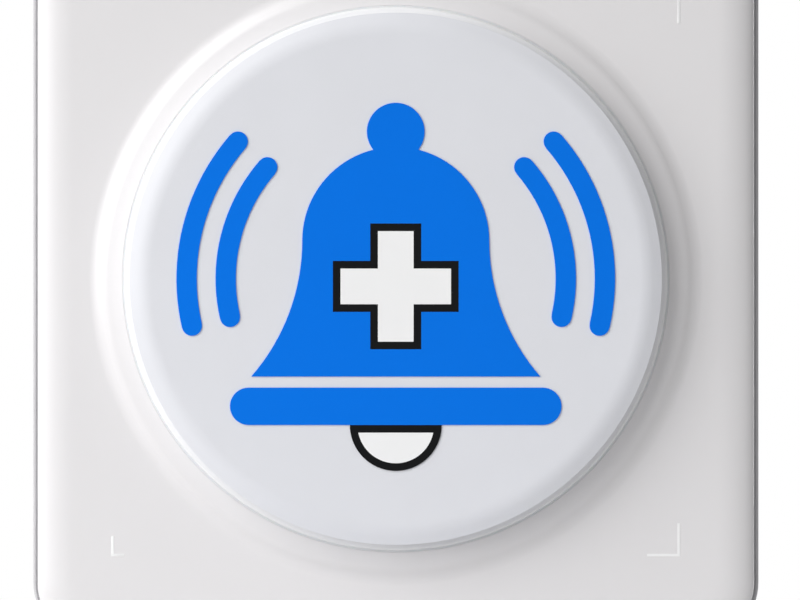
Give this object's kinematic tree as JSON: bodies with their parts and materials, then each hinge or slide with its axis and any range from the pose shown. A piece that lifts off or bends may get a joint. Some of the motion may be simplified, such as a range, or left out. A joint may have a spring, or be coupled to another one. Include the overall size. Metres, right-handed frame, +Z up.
{
  "type": "nurse call button",
  "caption": "Square wall-mounted nurse call point with rounded corners, a raised collar and a large round push button printed with a bell.",
  "frame": {"origin": "middle of the wall plate's back face, in the plane of the wall", "axes": "+Z up the wall, +Y into the wall, +X to the right for someone facing the button, which faces -Y"},
  "size_m": [0.086, 0.0225, 0.086],
  "materials": {
    "cover_abs": "gloss white moulded ABS",
    "plate_abs": "light grey moulded ABS, fine texture",
    "carrier_abs": "gloss white moulded ABS",
    "face_pc": "pale grey satin polycarbonate",
    "print_blue": "blue printing ink",
    "print_black": "black printing ink",
    "print_white": "white printing ink",
    "seal_rubber": "dark grey silicone rubber",
    "wiper_silicone": "white silicone rubber",
    "pad_foam": "off-white acrylic foam tape",
    "chassis_abs": "natural moulded ABS",
    "spring_steel": "drawn spring wire",
    "screw_steel": "zinc-plated steel",
    "board_fr4": "green solder mask on glass laminate",
    "switch_nylon": "black moulded nylon",
    "plunger_nylon": "dark grey moulded nylon",
    "tinned_steel": "tin-plated sheet steel",
    "cell_steel": "nickel-plated steel can",
    "contact_brass": "spring brass",
    "radio_fr4": "blue solder mask on glass laminate",
    "chip_epoxy": "black moulded epoxy",
    "ceramic": "tan ceramic",
    "copper_wire": "enamelled copper wire"
  },
  "bodies": {
    "housing": {"wall_plate": "plate_abs", "perimeter_seal": "seal_rubber", "adhesive_pads": "pad_foam", "front_cover": "cover_abs", "cover_lock_screw": "screw_steel", "button_seal": "seal_rubber", "wiper_ring": "wiper_silicone", "chassis": "chassis_abs", "chassis_screws": "screw_steel", "return_spring_1": "spring_steel", "return_spring_2": "spring_steel", "return_spring_3": "spring_steel", "return_spring_4": "spring_steel", "pcb": "board_fr4", "pcb_screws": "screw_steel", "switch_body": "switch_nylon", "switch_frame": "tinned_steel", "contact_dome": "tinned_steel", "switch_terminals": "tinned_steel", "battery_holder": "switch_nylon", "coin_cell": "cell_steel", "battery_clip": "tinned_steel", "battery_contact": "contact_brass", "radio_module": "radio_fr4", "radio_shield": "tinned_steel", "antenna_coil": "copper_wire", "microcontroller": "chip_epoxy", "crystal": "tinned_steel", "capacitors": "ceramic", "resistors": "chip_epoxy"},
    "button": {"button_carrier": "carrier_abs", "face_cap": "face_pc", "bell_symbol": "print_blue", "symbol_outline": "print_black", "symbol_fill": "print_white", "actuator_pad": "seal_rubber"},
    "plunger": {"switch_plunger": "plunger_nylon"}
  },
  "joints": [
    {"name": "button_press", "type": "slide", "parent": "housing", "child": "button", "axis": [0, 1, 0], "range_m": [0, 0.0015], "stiffness_N_per_m": 1200, "springref_m": -0.002, "deforming": ["return_spring_1", "return_spring_2", "return_spring_3", "return_spring_4"]},
    {"name": "plunger_press", "type": "slide", "parent": "housing", "child": "plunger", "axis": [0, 1, 0], "range_m": [0, 0.0015]}
  ],
  "couplings": [
    {"joint": "plunger_press", "follows": "button_press", "ratio": 1}
  ]
}
